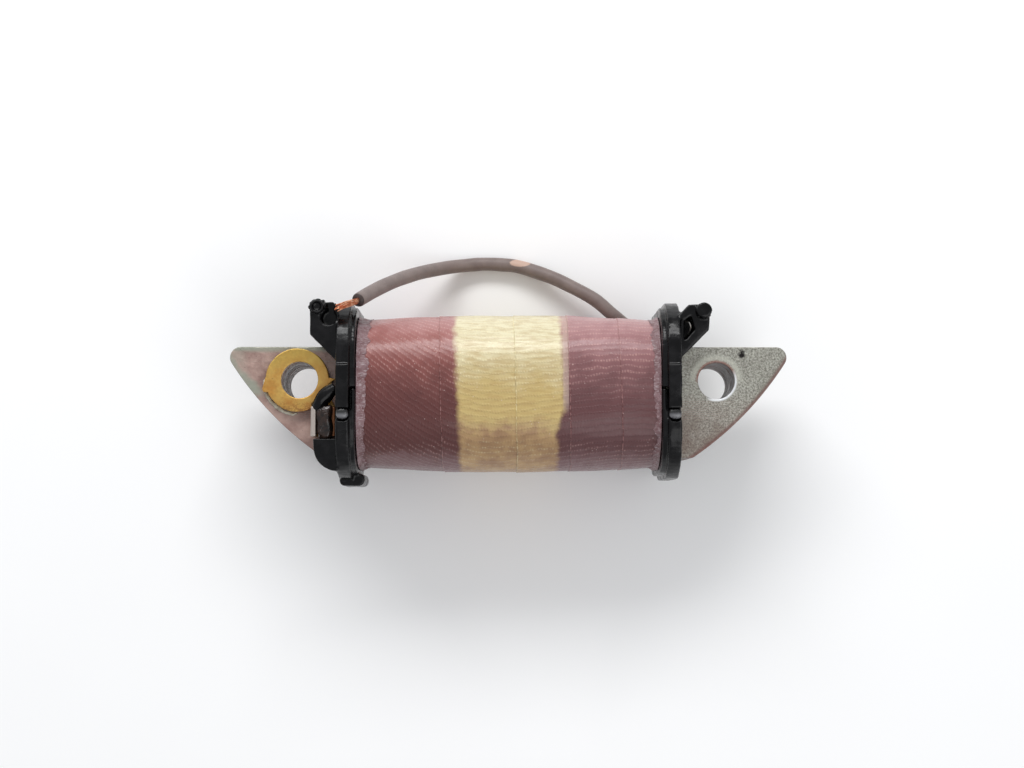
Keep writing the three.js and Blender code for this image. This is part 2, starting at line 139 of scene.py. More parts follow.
class Graph:
    """A material and short ways to add nodes to it. Positions are in millimetres."""

    def __init__(self, name, **surface):
        self.material = bpy.data.materials.new(name)
        self.material.use_nodes = True
        self.nodes = self.material.node_tree.nodes
        self.links = self.material.node_tree.links
        self.surface = self.nodes["Principled BSDF"]
        for socket, value in surface.items():
            self.surface.inputs[socket.replace("_", " ")].default_value = value

    def put(self, socket, value):
        if isinstance(value, bpy.types.NodeSocket):
            self.links.new(value, socket)
        else:
            socket.default_value = value

    def set(self, name, value):
        self.put(self.surface.inputs[name], value)

    def place(self):
        """The point on the object, in millimetres."""
        coordinates = self.nodes.new("ShaderNodeTexCoord")
        return self.scaled(coordinates.outputs["Object"], 1000)

    def attribute(self, name):
        node = self.nodes.new("ShaderNodeAttribute")
        node.attribute_name = name
        return node.outputs["Vector"]

    def scaled(self, vector, by):
        node = self.nodes.new("ShaderNodeVectorMath")
        node.operation = "MULTIPLY"
        self.put(node.inputs[0], vector)
        node.inputs[1].default_value = by if isinstance(by, tuple) else (by, by, by)
        return node.outputs[0]

    def split(self, vector):
        node = self.nodes.new("ShaderNodeSeparateXYZ")
        self.put(node.inputs[0], vector)
        return node.outputs[0], node.outputs[1], node.outputs[2]

    def math(self, operation, a, b=0.0, clamp=False):
        node = self.nodes.new("ShaderNodeMath")
        node.operation = operation
        node.use_clamp = clamp
        self.put(node.inputs[0], a)
        self.put(node.inputs[1], b)
        return node.outputs[0]

    def noise(self, vector, scale, detail=3.0, roughness=0.55, distortion=0.0):
        node = self.nodes.new("ShaderNodeTexNoise")
        self.put(node.inputs["Vector"], vector)
        node.inputs["Scale"].default_value = scale
        node.inputs["Detail"].default_value = detail
        node.inputs["Roughness"].default_value = roughness
        node.inputs["Distortion"].default_value = distortion
        return node.outputs[0]

    def cells(self, vector, scale, feature="F1"):
        node = self.nodes.new("ShaderNodeTexVoronoi")
        node.feature = feature
        self.put(node.inputs["Vector"], vector)
        node.inputs["Scale"].default_value = scale
        return node.outputs["Distance"]

    def distance(self, x, y, centre_x, centre_y):
        """The distance in the XY plane from a point."""
        across = self.math("POWER", self.math("SUBTRACT", x, centre_x), 2)
        up = self.math("POWER", self.math("SUBTRACT", y, centre_y), 2)
        return self.math("SQRT", self.math("ADD", across, up))

    def ramp(self, value, low, high, from_value=0.0, to_value=1.0):
        """Smoothly from from_value at low to to_value at high."""
        node = self.nodes.new("ShaderNodeMapRange")
        node.interpolation_type = "SMOOTHSTEP"
        self.put(node.inputs["Value"], value)
        node.inputs["From Min"].default_value = low
        node.inputs["From Max"].default_value = high
        node.inputs["To Min"].default_value = from_value
        node.inputs["To Max"].default_value = to_value
        return node.outputs[0]

    def band(self, value, low, high, soft):
        """1 between low and high, 0 outside, with soft edges."""
        rising = self.ramp(value, low - soft, low + soft)
        falling = self.ramp(value, high - soft, high + soft, 1.0, 0.0)
        return self.math("MULTIPLY", rising, falling)

    def mix(self, factor, a, b, blend="MIX"):
        node = self.nodes.new("ShaderNodeMix")
        node.data_type = "RGBA"
        node.blend_type = blend
        self.put(node.inputs[0], factor)
        self.put(node.inputs[6], a)
        self.put(node.inputs[7], b)
        return node.outputs[2]

    def bump(self, height, strength, distance, after=None):
        """A bump whose height of 1 is distance millimetres."""
        node = self.nodes.new("ShaderNodeBump")
        node.inputs["Strength"].default_value = strength
        node.inputs["Distance"].default_value = distance * MM
        self.put(node.inputs["Height"], height)
        if after:
            self.put(node.inputs["Normal"], after)
        return node.outputs[0]


def zinc_steel():
    g = Graph("zinc_steel", Metallic=0.85, Specular_IOR_Level=0.5)
    p = g.place()
    x, y, _ = g.split(p)
    grain = g.noise(p, 3.4, 5, 0.8)
    coarse = g.noise(p, 0.22, 4, 0.6)
    tone = g.mix(g.ramp(grain, 0.34, 0.68), linear(108, 105, 97), linear(206, 205, 194))
    tone = g.mix(g.math("MULTIPLY", g.ramp(coarse, 0.4, 0.7), 0.4), tone, linear(120, 118, 108))
    # Browner and darker towards the bottom, in uneven patches.
    lower_tint = g.math("MULTIPLY", g.ramp(y, 2.0, -8.0), g.ramp(coarse, 0.3, 0.66, 0.35, 1.0))
    tone = g.mix(g.math("MULTIPLY", lower_tint, 0.6), tone, linear(118, 92, 84))
    pit = g.math("SUBTRACT", g.noise(p, 1.4, 2), 0.5)
    from_hole = g.distance(g.math("ABSOLUTE", x), y, HOLE_X, HOLE_Y)
    uneven = g.math("MULTIPLY", g.math("SUBTRACT", grain, 0.5), 0.5)
    ring = g.band(g.math("ADD", from_hole, uneven), 2.6, 3.1, 0.15)
    upper = g.ramp(g.math("SUBTRACT", y, HOLE_Y), -0.8, 0.6)
    tone = g.mix(g.math("MULTIPLY", g.math("MULTIPLY", ring, upper), 0.75), tone, linear(138, 84, 74))
    # Painted highlight: a bright white crescent on the hole's rim towards the lower right.
    lower = g.math("SUBTRACT", g.math("SUBTRACT", x, HOLE_X), g.math("SUBTRACT", y, HOLE_Y))
    lower = g.ramp(lower, 0.6, 2.4)
    tone = g.mix(g.math("MULTIPLY", g.math("MULTIPLY", ring, lower), 0.9), tone, linear(244, 246, 248))
    # Painted sheen: a pale band round the upper side of the hole.
    painted_rim_sheen = g.band(g.math("ADD", from_hole, uneven), 3.1, 3.9, 0.4)
    tone = g.mix(g.math("MULTIPLY", g.math("MULTIPLY", painted_rim_sheen, upper), 0.45), tone, linear(222, 222, 208))
    from_axis = g.distance(x, y, 0, POLE_CENTRE_Y)
    arc_edge = g.ramp(g.math("ADD", from_axis, uneven), POLE_RADIUS - 0.75, POLE_RADIUS - 0.2)
    tone = g.mix(g.math("MULTIPLY", arc_edge, 0.7), tone, linear(116, 78, 74))
    away = g.math("POWER", g.distance(x, y, 35.1, 6.0), 2)
    dark = g.ramp(g.math("ADD", away, pit), 0.15, 0.5, 1.0, 0.0)
    tone = g.mix(dark, tone, linear(38, 34, 34))
    g.set("Base Color", tone)
    g.set("Roughness", g.ramp(grain, 0.3, 0.7, 0.3, 0.5))
    fine = g.bump(grain, 0.8, 0.05)
    g.set("Normal", g.bump(g.noise(p, 1.1, 3), 0.35, 0.1, fine))
    return g.material


def varnished_steel():
    g = Graph("varnished_steel", Metallic=0.35, Coat_Weight=0.6, Coat_Roughness=0.1, Roughness=0.42)
    p = g.place()
    x, y, _ = g.split(p)
    cloud = g.noise(p, 0.35, 4, 0.6)
    wavy = g.math("ADD", x, g.math("MULTIPLY", cloud, 3.0))
    top = g.ramp(g.math("SUBTRACT", y, g.math("MULTIPLY", cloud, 1.4)), 4.9, 6.1)
    rim = g.math("ADD", g.distance(x, y, 0, POLE_CENTRE_Y), cloud)
    rim = g.math("MULTIPLY", g.ramp(rim, POLE_RADIUS - 1.8, POLE_RADIUS + 0.2), g.ramp(y, -1.5, 0.5))
    tip = g.math("MULTIPLY", g.ramp(wavy, -36.2, -39.6), 0.7)
    green = g.math("MULTIPLY", g.math("MAXIMUM", g.math("MAXIMUM", top, rim), tip), 0.75)
    lacquer = g.mix(g.ramp(cloud, 0.35, 0.65), linear(176, 148, 138), linear(140, 110, 102))
    patchy = g.math("ADD", green, g.math("MULTIPLY", cloud, 0.9))
    lacquer = g.mix(g.ramp(patchy, 0.55, 1.3), lacquer, linear(152, 154, 140))
    specks = g.ramp(g.cells(p, 1.3), 0.04, 0.1, 1.0, 0.0)
    lacquer = g.mix(g.math("MULTIPLY", specks, 0.7), lacquer, linear(60, 46, 42))
    g.set("Base Color", lacquer)
    g.set("Normal", g.bump(g.noise(p, 0.7, 3), 0.8, 0.3, g.bump(g.noise(p, 4, 3), 0.25, 0.04)))
    return g.material


def sheet_edge():
    g = Graph("sheet_edge", Metallic=0.7, Coat_Weight=0.3, Coat_Roughness=0.15)
    p = g.place()
    drawn = g.noise(g.scaled(p, (3.0, 3.0, 0.4)), 1.6, 4, 0.65)
    g.set("Base Color", g.mix(g.ramp(drawn, 0.35, 0.7), linear(78, 54, 50), linear(132, 124, 120)))
    g.set("Roughness", g.ramp(drawn, 0.3, 0.7, 0.3, 0.55))
    g.set("Normal", g.bump(drawn, 0.5, 0.05))
    return g.material


def black_moulding():
    g = Graph("black_moulding", Specular_IOR_Level=0.22, Coat_Weight=0.1, Coat_Roughness=0.06)
    p = g.place()
    cloud = g.noise(p, 0.5, 4, 0.6)
    fine = g.noise(p, 5.0, 3, 0.6)
    g.set("Base Color", g.mix(g.ramp(cloud, 0.3, 0.75), linear(4, 4, 5), linear(16, 15, 17)))
    g.set("Roughness", g.ramp(cloud, 0.3, 0.7, 0.14, 0.36))
    g.set("Normal", g.bump(cloud, 0.45, 0.22, g.bump(fine, 0.15, 0.02)))
    return g.material


def moulding_painted_highlight():
    """The catches are black, with a painted grey highlight over their lower part."""
    g = Graph("moulding_painted_highlight", Specular_IOR_Level=0.6, Coat_Weight=0.4, Coat_Roughness=0.15)
    p = g.place()
    _, y, _ = g.split(p)
    cloud = g.noise(p, 1.4, 4, 0.6)
    # Painted highlight: grey over the lower part of the catch, in patches.
    painted_highlight = g.math("MULTIPLY", g.ramp(y, -3.2, -3.8), g.ramp(cloud, 0.25, 0.5, 0.5, 1.0))
    g.set("Base Color", g.mix(painted_highlight, linear(12, 12, 13), linear(104, 104, 108)))
    g.set("Roughness", g.ramp(cloud, 0.3, 0.7, 0.22, 0.4))
    g.set("Normal", g.bump(cloud, 0.4, 0.1))
    return g.material


def cloth_tape():
    """Varnished woven tape. lay holds the place along the coil, the place across the yarn rows, and the
    distance from the turn's left edge."""
    g = Graph("cloth_tape", Specular_IOR_Level=0.5, Coat_Weight=0.35, Coat_Roughness=0.22)
    p = g.place()
    _, y, _ = g.split(p)
    along, across, from_edge = g.split(g.attribute("lay"))
    cloud = g.noise(p, 0.35, 4, 0.6)
    fine = g.noise(p, 2.2, 3, 0.6)
    side = g.ramp(along, 4.0, 10.0)
    # Painted light and shade: a shaded dark tone and a lit light tone, blended by height so the tape is
    # lighter towards the top.
    dark = g.mix(side, linear(84, 34, 31), linear(88, 46, 48))
    light = g.mix(side, linear(150, 86, 80), linear(152, 104, 106))
    height = g.math("ADD", y, g.math("MULTIPLY", g.math("SUBTRACT", cloud, 0.5), 7.0))
    tone = g.mix(g.ramp(height, -3.0, 10.5), dark, light)
    # Painted sheen: a pale pink sheen over the top.
    tone = g.mix(g.math("MULTIPLY", g.ramp(height, 6.5, 12.5), 0.45), tone, linear(196, 156, 156))
    # Painted reflection: the underside is a little lighter where it curves under.
    tone = g.mix(g.math("MULTIPLY", g.ramp(height, -8.0, -11.5), 0.4), tone, linear(140, 108, 112))

    # The yellow band lies under the tape, and its ends are soft and uneven.
    wobble = g.math("MULTIPLY", g.math("SUBTRACT", g.noise(p, 0.8, 3), 0.5), 1.3)
    edge = g.math("ADD", along, g.math("ADD", wobble, g.math("MULTIPLY", y, 0.04)))
    right_end = g.math("SUBTRACT", 8.1, g.math("MULTIPLY", g.ramp(y, -2.0, -6.5), 1.3))
    right_mask = g.ramp(g.math("SUBTRACT", edge, right_end), -0.5, 0.6, 1.0, 0.0)
    yellow = g.math("MULTIPLY", g.ramp(edge, -8.2, -7.0), right_mask)
    # Painted light: the gold is paler, nearly cream, towards the top.
    gold = g.mix(g.ramp(height, -1.0, 9.5), linear(190, 166, 106), linear(222, 214, 180))
    streak = g.noise(g.scaled(p, (0.45, 2.4, 2.4)), 1.1, 4, 0.6)
    gold = g.mix(g.math("MULTIPLY", g.ramp(streak, 0.4, 0.62), 0.4), gold, linear(168, 136, 82))
    tan = g.mix(g.ramp(cloud, 0.3, 0.7), linear(146, 110, 76), linear(178, 144, 98))
    gold = g.mix(g.ramp(height, -3.4, -6.6), gold, tan)
    tone = g.mix(yellow, tone, gold)
    lap = g.math("MULTIPLY", g.band(along, 8.0, 8.85, 0.12), g.ramp(y, -4.0, -1.0))
    tone = g.mix(g.math("MULTIPLY", lap, 0.6), tone, linear(188, 164, 150))

    # Yarn rows a millimetre apart, each a line of short floats.
    drift = g.math("MULTIPLY", g.math("SUBTRACT", g.noise(p, 0.5, 2), 0.5), 1.1)
    across = g.math("ADD", across, drift)
    row = g.math("SINE", g.math("MULTIPLY", across, 2 * math.pi / ROW_PITCH))
    shift = g.math("MULTIPLY", g.math("FLOOR", g.math("DIVIDE", across, ROW_PITCH)), 1.9)
    beat = g.math("SINE", g.math("ADD", g.math("MULTIPLY", along, 2 * math.pi / 0.42), shift))
    float_mask = g.math("MULTIPLY", g.ramp(row, 0.2, 0.9), g.ramp(beat, -0.7, 0.5, 0.25, 1.0))
    weft = g.math("SINE", g.math("MULTIPLY", along, 2 * math.pi / 0.21))
    # Painted highlight: the woven floats are painted pale mostly on the upper part, where light catches the
    # yarn, and faintly in a band near the bottom.
    float_highlight = g.math("MULTIPLY", g.ramp(height, -1.5, 5.0), g.ramp(cloud, 0.34, 0.6, 0.15, 1.0))
    float_highlight = g.math("MULTIPLY", float_highlight, g.ramp(fine, 0.36, 0.58, 0.3, 1.0))
    low_rows = g.math("MULTIPLY", g.band(height, -9.6, -7.8, 0.6), g.ramp(fine, 0.4, 0.6, 0.0, 0.6))
    float_highlight = g.math("MAXIMUM", float_highlight, low_rows)
    pale = g.mix(yellow, linear(214, 168, 160), linear(240, 228, 184))
    tone = g.mix(g.math("MULTIPLY", g.math("MULTIPLY", float_mask, float_highlight), 0.42), tone, pale)
    specks = g.ramp(g.cells(p, 0.85), 0.035, 0.085, 1.0, 0.0)
    tone = g.mix(g.math("MULTIPLY", specks, 0.45), tone, linear(228, 206, 200))
    # Painted highlight: a pale, broken line along each turn's left edge, where the cut edge catches light.
    seam_edge_highlight = g.math("MULTIPLY", g.ramp(from_edge, 0.02, 0.16, 1.0, 0.0), g.ramp(fine, 0.35, 0.6, 0.05, 0.7))
    seam_edge_highlight = g.math("MULTIPLY", seam_edge_highlight, g.ramp(along, -21.0, -20.0))
    tone = g.mix(seam_edge_highlight, tone, g.mix(yellow, linear(186, 136, 132), linear(244, 230, 180)))
    g.set("Base Color", tone)
    g.set("Roughness", g.ramp(fine, 0.3, 0.7, 0.34, 0.56))
    yarn = g.math("ADD", g.math("MULTIPLY", float_mask, 0.8), g.math("MULTIPLY", weft, 0.12))
    weave = g.bump(yarn, 0.8, 0.06)
    g.set("Normal", g.bump(cloud, 0.3, 0.25, weave))
    return g.material


def pale_tape():
    g = Graph("pale_tape", Coat_Weight=0.25, Coat_Roughness=0.3)
    p = g.place()
    cloud = g.noise(p, 0.9, 5, 0.65)
    thread = g.noise(g.scaled(p, (1.0, 6.0, 6.0)), 1.2, 4, 0.6)
    tone = g.mix(g.ramp(cloud, 0.3, 0.75), linear(104, 66, 68), linear(142, 114, 118))
    threads = g.math("MULTIPLY", g.ramp(thread, 0.5, 0.7), 0.65)
    g.set("Base Color", g.mix(threads, tone, linear(200, 188, 190)))
    g.set("Roughness", g.ramp(cloud, 0.3, 0.7, 0.4, 0.65))
    g.set("Normal", g.bump(thread, 0.8, 0.12, g.bump(cloud, 0.5, 0.2)))
    return g.material


def brass_stains_and_shade():
    g = Graph("brass_stains_and_shade", Metallic=0.75, Coat_Weight=0.4, Coat_Roughness=0.18)
    p = g.place()
    cloud = g.noise(p, 0.55, 4, 0.6)
    fine = g.noise(p, 3.5, 4, 0.65)
    tone = g.mix(g.ramp(cloud, 0.3, 0.7), linear(196, 140, 66), linear(212, 172, 92))
    rust = g.ramp(g.math("ADD", g.cells(p, 0.55), g.math("MULTIPLY", fine, 0.25)), 0.2, 0.3, 1.0, 0.0)
    tone = g.mix(g.math("MULTIPLY", rust, 0.75), tone, linear(120, 62, 36))
    x, y, z = g.split(p)
    upper = g.math("MULTIPLY", g.ramp(g.math("ADD", y, cloud), 2.8, 6.5), 0.6)
    tone = g.mix(upper, tone, linear(190, 166, 84))
    # Painted shade: darker brown towards the bottom of the ring, in mottled patches.
    low = g.math("MULTIPLY", g.ramp(y, -0.5, -2.6), g.ramp(fine, 0.42, 0.58))
    tone = g.mix(g.math("MULTIPLY", low, 0.6), tone, linear(112, 62, 34))
    barrel = g.math("MULTIPLY", g.ramp(y, -1.9, -2.3), g.ramp(z, 20.5, 20.8))
    tone = g.mix(g.math("MULTIPLY", barrel, g.ramp(x, -28.2, -28.7)), tone, linear(186, 176, 168))
    tone = g.mix(g.math("MULTIPLY", barrel, g.ramp(x, -27.0, -26.6)), tone, linear(128, 78, 42))
    g.set("Base Color", tone)
    g.set("Roughness", g.ramp(fine, 0.3, 0.7, 0.3, 0.52))
    g.set("Normal", g.bump(fine, 0.35, 0.04, g.bump(cloud, 0.35, 0.15)))
    return g.material


def dark_resin():
    g = Graph("dark_resin", Roughness=0.16, Specular_IOR_Level=0.4, Coat_Weight=0.3, Coat_Roughness=0.05)
    p = g.place()
    cloud = g.noise(p, 0.7, 4, 0.6, 0.6)
    g.set("Base Color", g.mix(g.ramp(cloud, 0.35, 0.7), linear(16, 12, 11), linear(56, 38, 30)))
    g.set("Normal", g.bump(cloud, 0.6, 0.4))
    return g.material


def clear_varnish():
    g = Graph("clear_varnish", Roughness=0.1, Specular_IOR_Level=0.7, Coat_Weight=0.9, Coat_Roughness=0.04)
    p = g.place()
    cloud = g.noise(p, 0.8, 4, 0.6)
    g.set("Base Color", g.mix(g.ramp(cloud, 0.35, 0.7), linear(150, 138, 118), linear(196, 194, 178)))
    g.set("Normal", g.bump(cloud, 0.5, 0.25))
    return g.material


def tinned_wire():
    g = Graph("tinned_wire", Metallic=0.9, Roughness=0.28)
    p = g.place()
    cloud = g.noise(p, 1.6, 4, 0.6)
    g.set("Base Color", g.mix(g.ramp(cloud, 0.35, 0.65), linear(150, 142, 134), linear(214, 210, 204)))
    g.set("Normal", g.bump(cloud, 0.4, 0.08))
    return g.material


def bright_copper():
    g = Graph("bright_copper", Metallic=0.95, Roughness=0.3)
    p = g.place()
    cloud = g.noise(p, 1.4, 4, 0.6)
    g.set("Base Color", g.mix(g.ramp(cloud, 0.35, 0.65), linear(198, 104, 66), linear(252, 200, 162)))
    g.set("Normal", g.bump(g.noise(p, 6.0, 3), 0.3, 0.02))
    return g.material


def lead_rubber():
    g = Graph("lead_rubber", Specular_IOR_Level=0.45, Sheen_Weight=0.1)
    p = g.place()
    x, y, _ = g.split(p)
    cloud = g.noise(p, 0.45, 4, 0.6)
    fine = g.noise(p, 4.5, 4, 0.65)
    tone = g.mix(g.ramp(cloud, 0.25, 0.75), linear(112, 98, 94), linear(126, 112, 107))
    along = g.math("POWER", g.math("DIVIDE", g.math("SUBTRACT", x, 1.95), 1.6), 2)
    across = g.math("POWER", g.math("DIVIDE", g.math("SUBTRACT", y, 22.15), 0.62), 2)
    spot = g.math("ADD", g.math("ADD", along, across), g.math("MULTIPLY", fine, 0.7))
    scuff = g.ramp(spot, 1.2, 1.6, 1.0, 0.0)
    tone = g.mix(scuff, tone, linear(190, 160, 144))
    dirt = g.ramp(g.cells(p, 0.5), 0.05, 0.12, 1.0, 0.0)
    tone = g.mix(g.math("MULTIPLY", dirt, 0.2), tone, linear(70, 58, 54))
    end = Vector(LEAD_ROUTE[-1])
    away = g.nodes.new("ShaderNodeVectorMath")
    away.operation = "DISTANCE"
    g.put(away.inputs[0], p)
    away.inputs[1].default_value = end
    tone = g.mix(g.ramp(away.outputs["Value"], 0.98, 1.06, 1.0, 0.0), tone, linear(58, 44, 42))
    g.set("Base Color", tone)
    g.set("Roughness", g.ramp(fine, 0.3, 0.7, 0.42, 0.62))
    g.set("Normal", g.bump(fine, 0.3, 0.04, g.bump(cloud, 0.4, 0.2)))
    return g.material


def enamelled_wire():
    g = Graph("enamelled_wire", Coat_Weight=0.5, Coat_Roughness=0.1)
    p = g.place()
    x, _, _ = g.split(p)
    turns = g.math("SINE", g.math("MULTIPLY", x, 2 * math.pi / 0.3))
    cloud = g.noise(p, 0.6, 4, 0.6)
    g.set("Base Color", g.mix(g.ramp(cloud, 0.3, 0.7), linear(96, 36, 30), linear(130, 56, 44)))
    g.set("Roughness", g.ramp(cloud, 0.3, 0.7, 0.25, 0.4))
    g.set("Normal", g.bump(turns, 0.8, 0.1))
    return g.material


def varnished_film(name, low, high):
    g = Graph(name, Coat_Weight=0.4, Coat_Roughness=0.15)
    p = g.place()
    cloud = g.noise(p, 0.6, 4, 0.6)
    g.set("Base Color", g.mix(g.ramp(cloud, 0.3, 0.7), low, high))
    g.set("Roughness", g.ramp(cloud, 0.3, 0.7, 0.3, 0.5))
    g.set("Normal", g.bump(cloud, 0.4, 0.15))
    return g.material


ZINC = zinc_steel()
VARNISHED = varnished_steel()
EDGE = sheet_edge()
BLACK = black_moulding()
CLOTH = cloth_tape()
PALE = pale_tape()
BRASS = brass_stains_and_shade()
RESIN = dark_resin()
VARNISH = clear_varnish()
TINNED = tinned_wire()
COPPER = bright_copper()
MOON = moulding_painted_highlight()
LEAD = lead_rubber()
ENAMEL = enamelled_wire()
YELLOW_FILM = varnished_film("yellow_film", linear(206, 172, 92), linear(232, 206, 130))
PAPER_FILM = varnished_film("paper_film", linear(196, 176, 130), linear(220, 204, 164))


# ---- piece helpers ----
def link(name, mesh, slot, *nodes, materials=()):
    """Makes the mesh a piece that rides the coil and stands for the CAD nodes."""
    for material in materials:
        mesh.materials.append(material)
    piece = bpy.data.objects.new(name, mesh)
    bpy.context.scene.collection.objects.link(piece)
    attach(piece, "root")
    if nodes:
        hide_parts(*nodes)
    return piece


def mesh_of(name, verts, faces, smooth=True):
    """A mesh from points in millimetres."""
    mesh = bpy.data.meshes.new(name)
    mesh.from_pydata([Vector(v) * MM for v in verts], [], faces)
    mesh.update()
    mesh.polygons.foreach_set("use_smooth", [smooth] * len(mesh.polygons))
    return mesh


def applied(piece):
    """Turns the piece's modifiers into plain geometry."""
    depsgraph = bpy.context.evaluated_depsgraph_get()
    depsgraph.update()
    mesh = bpy.data.meshes.new_from_object(piece.evaluated_get(depsgraph))
    piece.modifiers.clear()
    piece.data = mesh
    return piece


def smooth_curve(points, steps):
    """Points spaced along a Catmull-Rom curve through the given ones."""
    points = [Vector(p) for p in points]
    padded = [2 * points[0] - points[1], *points, 2 * points[-1] - points[-2]]
    made = []
    for i in range(len(points) - 1):
        p0, p1, p2, p3 = padded[i:i + 4]
        for j in range(steps):
            t = j / steps
            made.append(0.5 * (2 * p1 + (p2 - p0) * t + (2 * p0 - 5 * p1 + 4 * p2 - p3) * t * t
                               + (3 * p1 - p0 - 3 * p2 + p3) * t ** 3))
    made.append(points[-1])
    return made


def tube(points, radius, sides):
    """Verts and faces of a closed tube. radius is a number or a function of the share along and the angle."""
    width = radius if callable(radius) else (lambda share, angle: radius)
    verts, faces = [], []
    side = Vector((0.31, 0.27, 0.91))
    count = len(points)
    for i, point in enumerate(points):
        ahead = points[min(i + 1, count - 1)] - points[max(i - 1, 0)]
        ahead.normalize()
        side = (side - ahead * side.dot(ahead)).normalized()
        other = ahead.cross(side)
        for k in range(sides):
            angle = 2 * math.pi * k / sides
            r = width(i / (count - 1), angle)
            verts.append(point + (side * math.cos(angle) + other * math.sin(angle)) * r)
    for i in range(count - 1):
        for k in range(sides):
            n = (k + 1) % sides
            faces.append((i * sides + k, i * sides + n, (i + 1) * sides + n, (i + 1) * sides + k))
    faces.append(tuple(reversed(range(sides))))
    faces.append(tuple((count - 1) * sides + k for k in range(sides)))
    return verts, faces


def joined(parts):
    """Several (verts, faces) pairs as one."""
    verts, faces = [], []
    for part_verts, part_faces in parts:
        start = len(verts)
        verts += part_verts
        faces += [tuple(i + start for i in face) for face in part_faces]
    return verts, faces


def roughen(mesh, depth, grain):
    """Moves each point in or out by up to depth millimetres of smooth noise, but never into the floor."""
    count = 3 * len(mesh.vertices)
    places, normals = [0.0] * count, [0.0] * count
    mesh.vertices.foreach_get("co", places)
    mesh.vertices.foreach_get("normal", normals)
    for i in range(0, count, 3):
        push = depth * MM * noise.noise(Vector(places[i:i + 3]) * (grain / MM))
        for axis in range(3):
            places[i + axis] += normals[i + axis] * push
        places[i + 2] = max(places[i + 2], 0.0)
    mesh.vertices.foreach_set("co", places)
    mesh.update()


def moulded(name, node, voxel, slot, material, smoothing, rough=0.0, grain=0.6):
    """The CAD node's solid with softened edges and a slightly uneven skin, as its own piece."""
    piece = link(name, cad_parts[node].data.copy(), slot, node)
    piece.data.materials.clear()
    piece.data.materials.append(material)
    remesh = piece.modifiers.new("remesh", "REMESH")
    remesh.mode = "VOXEL"
    remesh.voxel_size = voxel * MM
    soften = piece.modifiers.new("soften", "SMOOTH")
    soften.factor = 0.5
    soften.iterations = smoothing
    applied(piece)
    if rough:
        roughen(piece.data, rough, grain)
    piece.data.polygons.foreach_set("use_smooth", [True] * len(piece.data.polygons))
    return piece


# ---- output lead: made first, with its stripped end ----
def lead_radius(share, angle):
    """The insulation is a little uneven, has one lump, and its cut end is rounded over."""
    lump = 0.3 * math.exp(-((share - 0.335) / 0.022) ** 2) * max(0.0, math.cos(angle - 2.6))
    cut = 0.16 * max(0.0, (share - 0.992) / 0.008) ** 2
    ripple = 0.02 * math.sin(share * 61) * math.cos(2 * angle + share * 9)
    return LEAD_RADIUS - 0.03 + ripple + lump - cut


def add_output_lead():
    path = smooth_curve(LEAD_ROUTE, 12)
    verts, faces = tube(path, lead_radius, 28)
    mesh = mesh_of("lead_insulation", verts, faces)
    lead = link("lead_insulation", mesh, "lead_sleeve", "output_lead", materials=[LEAD])
    strands = add_strands()


def add_strands():
    """Fine copper strands with a slight twist that fan out towards their cut tips."""
    draw = random.Random(7)
    spine = smooth_curve(STRAND_ROUTE, 5)
    parts = []
    for i in range(24):
        ring = 0.0 if i == 0 else (0.19 if i < 8 else 0.38)
        start = 2 * math.pi * draw.random()
        last = len(spine) - draw.choice([0, 1, 2, 3])
        fan = draw.uniform(0.7, 1.25)
        points = []
        for j, centre in enumerate(spine[:last]):
            share = j / (len(spine) - 1)
            turn = start + 1.6 * share
            spread = ring * (1 + 0.35 * share * fan)
            offset = Vector((0.45 * math.sin(turn), math.cos(turn), 0.9 * math.sin(turn)))
            points.append(centre + offset * spread)
        parts.append(tube(points, 0.075, 7))
    verts, faces = joined(parts)
    mesh = mesh_of("copper_strands", verts, faces)
    return link("copper_strands", mesh, "bare_copper", "output_lead_copper", materials=[COPPER])


add_output_lead()


# ---- core sheets ----
def arc(cx, cy, radius, start, end, steps):
    made = []
    for i in range(steps + 1):
        a = start + (end - start) * i / steps
        made.append((cx + radius * math.cos(a), cy + radius * math.sin(a)))
    return made


def core_outline():
    tip_y = WING_TOP - TIP_RADIUS
    tip_x = math.sqrt((POLE_RADIUS - TIP_RADIUS) ** 2 - (tip_y - POLE_CENTRE_Y) ** 2)
    heel_y = WING_BOTTOM + HEEL_RADIUS
    heel_x = math.sqrt((POLE_RADIUS - HEEL_RADIUS) ** 2 - (heel_y - POLE_CENTRE_Y) ** 2)
    tip_angle = math.atan2(tip_y - POLE_CENTRE_Y, tip_x)
    heel_angle = math.atan2(heel_y - POLE_CENTRE_Y, heel_x)
    right = [
        (WING_INNER_X, AXIS_Y - NECK_HALF),
        (WING_INNER_X, WING_BOTTOM),
        *arc(heel_x, heel_y, HEEL_RADIUS, -math.pi / 2, heel_angle, 10),
        *arc(0, POLE_CENTRE_Y, POLE_RADIUS, heel_angle, tip_angle, 48)[1:-1],
        *arc(tip_x, tip_y, TIP_RADIUS, tip_angle, math.pi / 2, 14),
        (WING_INNER_X, WING_TOP),
        (WING_INNER_X, AXIS_Y + NECK_HALF),
    ]
    return right + [(-x, y) for x, y in reversed(right)]


